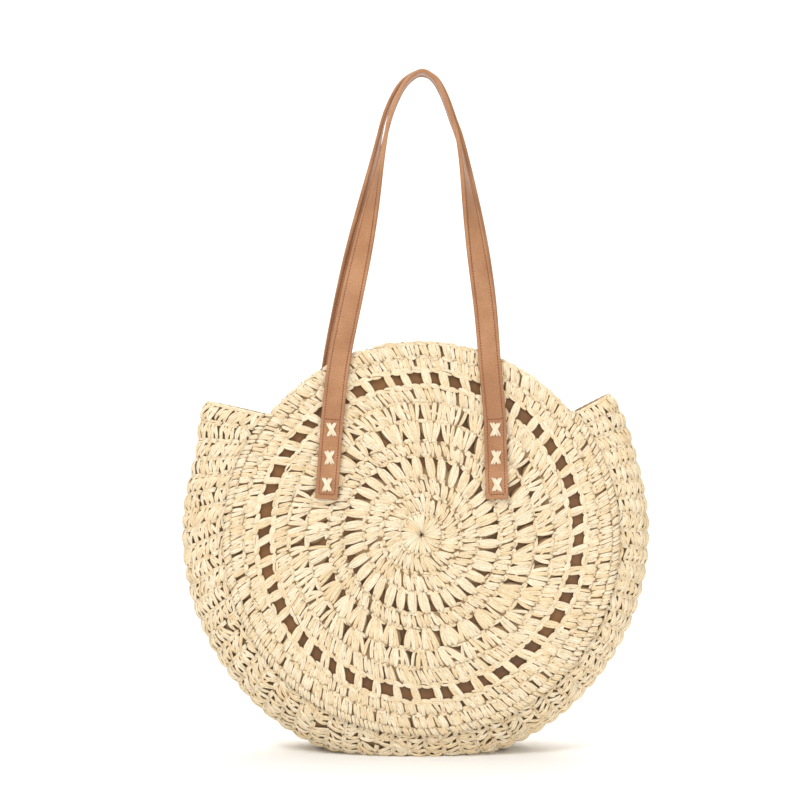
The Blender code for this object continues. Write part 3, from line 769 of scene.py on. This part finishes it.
def band_lining(satin):
    """The gusset's lining, just inside the crocheted band and sewn to the round linings' rims."""
    along, across = np.meshgrid(np.linspace(0.0, 1.0, 150), np.linspace(-1.0, 1.0, 31),
                                indexing="ij")
    up = band_up(along, across)
    place = band_place(along, across)
    fold = np.sin(along * 150 + 3 * across) * np.cos(across * math.pi / 2)
    depth = (GUSSET_THICKNESS + CLEARANCE + 0.0003 + 0.0002 * (1 + fold))[..., None]
    rim = np.radians(lerp(RIM_END_RIGHT, RIM_END_LEFT - 360, along))
    sewn = smooth_step((np.abs(across) - SEWN_FROM) / (1 - SEWN_FROM))[..., None]
    skins = []
    for inset, drop in ((0.0, SEWN_DROP), (LINING_SHEET, SEWN_DROP + LINING_SHEET)):
        front, back = (polar_place(side, SEWN_RADIUS - inset, rim, -drop)
                       for side in (FRONT, BACK))
        seat = np.where(across[..., None] < 0, front, back)
        skins.append(lerp(place - up * (depth + inset), seat, sewn))
    return grid_shell("gusset_lining_sheet", *skins, satin)


def mouth_hem(side, word, satin):
    """The turned hem of a lining along the mouth."""
    stations, sides = 120, 10
    angle = np.radians(np.linspace(RIM_END_RIGHT, RIM_END_LEFT, stations))[:, None]
    turn = 2 * math.pi * np.arange(sides) / sides
    ripple = 1 + 0.06 * np.sin(angle * 90)
    radius = LINING_RADIUS - HEM_INSET + HEM_HALF_HEIGHT * ripple * np.cos(turn)
    points = polar_place(side, radius, angle, HEM_HALF_THICKNESS * np.sin(turn) - HEM_DROP)
    return tube_mesh(f"{word}_lining_hem", points, satin)


def tube_mesh(name, rings, material):
    """A closed tube through rings of points (stations, sides, 3)."""
    stations, sides = rings.shape[:2]
    i, j = np.meshgrid(np.arange(stations - 1), np.arange(sides), indexing="ij")
    near, far = i * sides + j, i * sides + (j + 1) % sides
    faces = np.stack((near, near + sides, far + sides, far), -1).reshape(-1, 4).tolist()
    faces.append(list(range(sides)))
    faces.append(list(range(stations * sides - 1, (stations - 1) * sides - 1, -1)))
    middle = rings.mean(axis=1)
    turned = np.cross(rings[0, 0] - middle[0], rings[0, 1] - middle[0])
    if turned @ (middle[1] - middle[0]) > 0:
        faces = [face[::-1] for face in faces]
    item = smooth_mesh(name, rings.reshape(-1, 3).tolist(), faces, material)
    item.data.set_sharp_from_angle(angle=math.radians(50))
    return item


# ---- handles ----

ROUTE_STEP = 0.0022  # between two stations of a strap
ROUTE_FINENESS = 40
THREAD_INSET = 0.0033  # from the strap's edge to the sewing line
THREAD_PITCH = 0.0028
THREAD_LENGTH = 0.0021
THREAD_HALF_WIDTH = 0.00045
THREAD_HALF_HEIGHT = 0.00028
GROOVE_SEAT, GROOVE_ARCH = 0.00128, 0.00026  # height of a stitch's ends in the groove, its rise
FACE_SEAT, FACE_ARCH = 0.0017, 0.00022  # the same for the lines across the strap
THREAD_FOOT = 0.0046  # from the strap's end to the line of stitches across it
CROSS_PLY = 0.00096  # half the distance between the two strands of a cross's arm
CROSS_HALF_WIDTH = 0.00125
CROSS_HALF_HEIGHT = 0.0011
# Half of a strap's cross-section, from its middle line out: (across, height of the face)
STRAP_PROFILE = ((0.0, 0.00172), (0.0026, 0.0017), (0.005, 0.00163), (0.0066, 0.00157),
                 (0.0073, 0.00146), (0.00785, 0.00126), (0.0084, 0.00152), (0.0089, 0.00186),
                 (0.0095, 0.002), (0.0101, 0.00182), (0.01055, 0.00128), (0.01075, 0.0))


def tab_top(side, hand):
    """Distance of a tab's top from the panel's middle; hand is -1 on the left, 1 on the right."""
    distance = TAB_TOP_LEFT if hand < 0 else TAB_TOP_RIGHT
    if side == BACK:
        distance *= BACK_SPREAD_LEFT if hand < 0 else BACK_SPREAD_RIGHT
    return hand * distance


def arch_start(side):
    """Height at which a handle's free arch begins."""
    return flat_place(side, 0.0, TAB_TOP, STRAP_MIDDLE)[2] + CLEARANCE


def line_lengths(points):
    """How far along a line each of its points lies."""
    steps = np.linalg.norm(np.diff(points, axis=0), axis=1)
    return np.concatenate(((0,), np.cumsum(steps)))


def read_line(distance, lengths, values):
    """Values known at lengths along a line, at other distances."""
    return np.stack([np.interp(distance, lengths, values[:, k]) for k in range(3)], -1)


def tab_middle(side, hand, share):
    """Middle of a tab in the panel's plane, at a share of its length from the top."""
    lean = math.radians(TAB_LEAN_LEFT if hand < 0 else TAB_LEAN_RIGHT)
    u = tab_top(side, hand) + hand * TAB_LENGTH * math.tan(lean) * share
    return u, TAB_TOP - TAB_LENGTH * share


def arch_points(side):
    """Closely spaced points of the arch's middle line, without its depth."""
    rise = HANDLE_RISE + (BACK_EXTRA_RISE if side == BACK else 0.0)
    fullness = BACK_FULLNESS if side == BACK else 1.0
    left, right = ([(tab_top(side, hand) * spread ** fullness, share) for spread, share in leg]
                   for hand, leg in ((-1, LEFT_LEG), (1, RIGHT_LEG)))
    plan = np.array(left + [(TAB_TOP_RIGHT * PEAK[0], PEAK[1])] + right[::-1])
    foot = flat_place(side, 0.0, TAB_TOP, STRAP_MIDDLE)
    start = arch_start(side)
    points = np.stack((MIDDLE_X + plan[:, 0], start + plan[:, 1] * rise), -1)
    ends = np.concatenate((2 * points[:1] - points[1:2], points, 2 * points[-1:] - points[-2:-1]))
    t = (np.arange(ROUTE_FINENESS) / ROUTE_FINENESS)[:, None]
    fine = []
    for a, b, c, d in zip(ends, ends[1:], ends[2:], ends[3:]):
        fine.append(0.5 * (2 * b + (c - a) * t + (2 * a - 5 * b + 4 * c - d) * t * t
                           + (3 * b - a - 3 * c + d) * t ** 3))
    fine = np.concatenate(fine + [points[-1:]])
    follow = abs(foot[1]) - (fine[:, 1] - foot[2]) * math.tan(LEAN)
    share = (fine[:, 1] - start) / rise
    blend = smooth_step((share - STRAP_LEAVES_PANEL) / (STRAP_UPRIGHT - STRAP_LEAVES_PANEL))
    depth = side * lerp(follow, (STRAP_WIDTH + STRAP_PAIR_GAP) / 2, blend)
    return np.stack((fine[:, 0], depth, fine[:, 1]), -1)


def even_route(points):
    """Evenly spaced points on a line of points."""
    lengths = line_lengths(points)
    count = int(round(lengths[-1] / ROUTE_STEP))
    return read_line(np.linspace(0.0, lengths[-1], count + 1), lengths, points)


class Strap:
    """A handle's middle line from foot to foot, with its directions."""

    def __init__(self, side):
        left, right = (flat_place(side, *tab_middle(side, hand, 1.0), STRAP_MIDDLE)
                       for hand in (-1, 1))
        self.points = even_route(np.vstack((left, arch_points(side), right)))
        foot = arch_start(side)
        rise = self.points[:, 2].max() - foot
        run = unit(np.gradient(self.points, axis=0))
        for _ in range(2):
            run[1:-1] = (run[:-2] + run[1:-1] * 2 + run[2:]) / 4
        run = unit(run)
        turned = ((self.points[:, 2] - foot) / rise - TWIST_START) / (TWIST_END - TWIST_START)
        twist = math.pi / 2 * smooth_step(np.maximum(turned, 0.0) ** TWIST_DELAY)[:, None]
        outward = unit(np.stack((-run[:, 2], 0 * run[:, 0], run[:, 0]), -1))
        face = panel_up(side) * np.cos(twist) + outward * np.sin(twist)
        self.across = unit(np.cross(run, face))
        self.face = unit(np.cross(self.across, run))
        self.length = line_lengths(self.points)

    def at(self, distance, across, height):
        """Points at distances along the strap, and places in its cross-section."""
        spot, sideways, face = (read_line(distance, self.length, values)
                                for values in (self.points, self.across, self.face))
        return (spot + unit(sideways) * np.asarray(across)[..., None]
                + unit(face) * np.asarray(height)[..., None])


def strap_body(strap, name, leather):
    """The strap itself: turned edges, a sewing groove and square ends."""
    half = np.array(STRAP_PROFILE)
    top = np.concatenate((half[::-1], half[1:] * (-1, 1)))
    under = top[-2:0:-1] * (1, -1)
    section = np.concatenate((top, under))
    ends = np.array((0.0, 0.0003, 0.001, 0.0018))
    shrink = ((0.955, 0.55), (0.985, 0.82), (1.0, 0.97), (1.0, 1.0))
    total = strap.length[-1]
    distance = np.concatenate((ends, strap.length[2:-2], total - ends[::-1]))
    size = np.ones((len(distance), 2))
    size[:4] = shrink
    size[-4:] = shrink[::-1]
    rings = strap.at(distance[:, None], section[:, 0] * size[:, :1], section[:, 1] * size[:, 1:])
    return tube_mesh(name, rings, leather)


def strap_threads(strap, name, thread, seed):
    """The sewing along both edges, on both faces, and across the sewn ends."""
    stitches = Strands(seed)
    reach_along = (ALONG - 0.5) * THREAD_LENGTH

    def sew(distance, across, height, face):
        """Stitches at places on the strap, on its front (1) or back (-1) face."""
        path = strap.at(distance, across, height)
        up = strap.at(distance, across, height + face) - path
        stitches.add(path, up, THREAD_HALF_WIDTH, THREAD_HALF_HEIGHT, THIN)

    total = strap.length[-1]
    line = STRAP_WIDTH / 2 - THREAD_INSET
    count = int((total - 2 * THREAD_FOOT) / THREAD_PITCH)
    middle = THREAD_FOOT + THREAD_PITCH * (np.arange(count) + 0.5)
    distance = middle[:, None] + reach_along
    for face in (1, -1):
        for edge in (-1, 1):
            sew(distance, edge * line, face * (GROOVE_SEAT + GROOVE_ARCH * ARCH), face)
    count = int(2 * line / THREAD_PITCH)
    middle = THREAD_PITCH * (np.arange(count) - (count - 1) / 2)
    across = middle[:, None] + reach_along
    for spot in (THREAD_FOOT, TAB_LENGTH, total - TAB_LENGTH, total - THREAD_FOOT):
        sew(spot, across, FACE_SEAT + FACE_ARCH * ARCH, 1)
    return stitches.make(name, thread)


def cross_stitch(side, hand, share, name, straw, seed):
    """Two thick strands of straw crossed over a sewn end, one pair over the other."""
    strands = Strands(seed)
    u, v = tab_middle(side, hand, share)
    half_u = CROSS_WIDTH / 2 - 0.0006
    half_v = CROSS_HEIGHT / 2 - 0.0004
    foot = PANEL_THICKNESS + CLEARANCE + STRAP_THICKNESS - 0.0006
    for order, turned in enumerate((1, -1)):
        for ply in (-CROSS_PLY, CROSS_PLY):
            across = turned * half_u * (2 * ALONG - 1) + ply + strands.jitter(1, 0.0002)
            rise = half_v * (2 * ALONG - 1) + strands.jitter(1, 0.0002)
            lift = foot + (0.0012 + 0.0005 * order) * ARCH ** 0.5
            path = flat_place(side, u + across, v + rise, lift)[None]
            strands.add(path, panel_up(side), CROSS_HALF_WIDTH, CROSS_HALF_HEIGHT, np.sqrt(THIN))
    return strands.make(name, straw)


# ---- the room ----

FLOOR_REACH = 4.0  # how far the floor comes forwards
FLOOR_HALF_WIDTH = 6.0
SWEEP_FROM = 2.0  # where the floor starts to rise, in a quarter circle of 1 m
SWEEP_STEPS = 12
BACKDROP_TOP = 5.0
FLOOR_COLOUR = (0.94, 0.935, 0.925, 1)
WORLD_COLOUR = (1.0, 0.99, 0.97, 1)
WORLD_STRENGTH = 0.62
# Name, place, size, power and the point that it faces
LIGHTS = (("key_light", (-0.9, -1.5, 2.3), 1.0, 40, (0.0, 0.0, 0.25)),
          ("fill_light", (1.2, -2.2, 0.3), 1.4, 15, (0.0, 0.0, 0.1)),
          ("back_light", (0.6, 1.6, 1.8), 1.4, 18, (0.0, 0.0, 0.25)),
          ("backdrop_light", (0.0, 1.2, 3.2), 2.5, 60, (0.0, 3.0, 0.8)))


def camera():
    """A level view of the front, from a little left of the bag's middle."""
    data = bpy.data.cameras.new("camera")
    data.lens = 76
    data.sensor_width = 36
    place, turn = (-0.015, -1.632, 0.336), (math.radians(90), 0.0, 0.0)
    bpy.context.scene.camera = scene_object("camera", data, place, turn)


def light(name, place, size, power, target):
    """A square soft light that faces a point."""
    data = bpy.data.lights.new(name, "AREA")
    data.shape = "SQUARE"
    data.size = size
    data.energy = power
    direction = np.array(place) - np.array(target)
    yaw = math.atan2(direction[1], direction[0]) + math.pi / 2
    tilt = math.atan2(math.hypot(direction[0], direction[1]), direction[2])
    scene_object(name, data, place, (tilt, 0.0, yaw))


def studio():
    """A pale floor that sweeps up into a pale backdrop, and soft light."""
    profile = [(-FLOOR_REACH, 0.0), (SWEEP_FROM, 0.0)]
    for i in range(1, SWEEP_STEPS + 1):
        turn = math.pi / 2 * i / SWEEP_STEPS
        profile.append((SWEEP_FROM + math.sin(turn), 1.0 - math.cos(turn)))
    profile.append((SWEEP_FROM + 1.0, BACKDROP_TOP))
    points = [(x, y, z) for y, z in profile for x in (-FLOOR_HALF_WIDTH, FLOOR_HALF_WIDTH)]
    faces = [(2 * i, 2 * i + 1, 2 * i + 3, 2 * i + 2) for i in range(len(profile) - 1)]
    pale = Nodes("studio_pale").finish(FLOOR_COLOUR, 0.9)
    floor = smooth_mesh("studio_floor", points, faces, pale)
    world = bpy.data.worlds.new("studio_world")
    world.use_nodes = True
    background = world.node_tree.nodes["Background"].inputs
    background["Color"].default_value = WORLD_COLOUR
    background["Strength"].default_value = WORLD_STRENGTH
    bpy.context.scene.world = world
    bpy.context.scene.view_settings.view_transform = "Standard"
    for lamp in LIGHTS:
        light(*lamp)


# ---- everything together ----

def declare(piece, body, slot, *nodes):
    """Tell the frame which body a piece rides on and the nodes it stands for; the finish given as
    slot is not used.
    """
    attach(piece, body)
    if nodes:
        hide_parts(*nodes)


def build():
    """Make every piece."""
    camera()
    studio()
    # the third straw colour is the painted shade colour of creases, strand edges and ends, and
    # strands under others
    pale, warm, painted_shade_colour = colour(248, 233, 203), colour(240, 215, 173), colour(120, 86, 42)
    straw = straw_material("straw", pale, warm, painted_shade_colour)
    seam = straw_material("seam_straw", pale, warm, painted_shade_colour)
    # its third colour is its painted shade colour
    white = straw_material("cross_straw", colour(252, 240, 218), colour(245, 226, 194),
                           colour(186, 150, 108))
    satin = satin_material()
    leather = leather_material()
    thread = thread_material()
    brass = brass_material()

    faces = (("front", FRONT, "front_face", "front_handle", 100),
             ("back", BACK, "bag_body", "back_handle", 200))
    for word, side, body, handle, seed in faces:
        crochet = []
        for part, rows in CROCHET_PIECES:
            crochet.append(panel_crochet(side, word, rows, seed + rows[0], part, straw))
            declare(crochet[-1], body, "straw", f"{word}_panel")
        declare(seam_row(side, word, seed + 3, seam), body, "seam_straw", f"{word}_joining_seam")
        sheet = disc_lining(side, word, satin)
        hem = mouth_hem(side, word, satin)
        declare(sheet, body, "lining_satin", f"{word}_lining")
        declare(hem, body, "lining_satin")
        strap = Strap(side)
        pieces = (strap_body(strap, f"{word}_handle", leather),
                  strap_threads(strap, f"{word}_handle_thread", thread, seed + 4))
        pivot = flat_place(side, 0.0, TAB_TOP, STRAP_MIDDLE)[2]
        for piece in pieces:
            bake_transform(piece)
            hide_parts(f"{word}_left_handle_tab", f"{word}_right_handle_tab",
                        f"{word}_handle_strap")
        for hand_word, hand in (("left", -1), ("right", 1)):
            for number, share in enumerate(CROSS_SHARES, 1):
                name = f"{word}_{hand_word}_cross"
                cross = cross_stitch(side, hand, share, f"{name}_{number}", white,
                                     seed + 10 + 5 * hand + number)
                declare(cross, body, "cross_straw", f"{name}_stitch_{number}")

    thirds = (("gusset_crochet_right", 0, 19), ("gusset_crochet_base", 19, 38),
              ("gusset_crochet_left", 38, BAND_ROWS))
    for number, (name, first, last) in enumerate(thirds):
        piece = band_crochet(first, last, 300 + number, name, straw)
        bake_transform(piece)
        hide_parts("gusset_band")
    sheet = band_lining(satin)
    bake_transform(sheet)
    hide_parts("gusset_lining")
    for node in ("snap_socket", "snap_stud"):
        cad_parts[node].material_slots[0].material = brass


build()
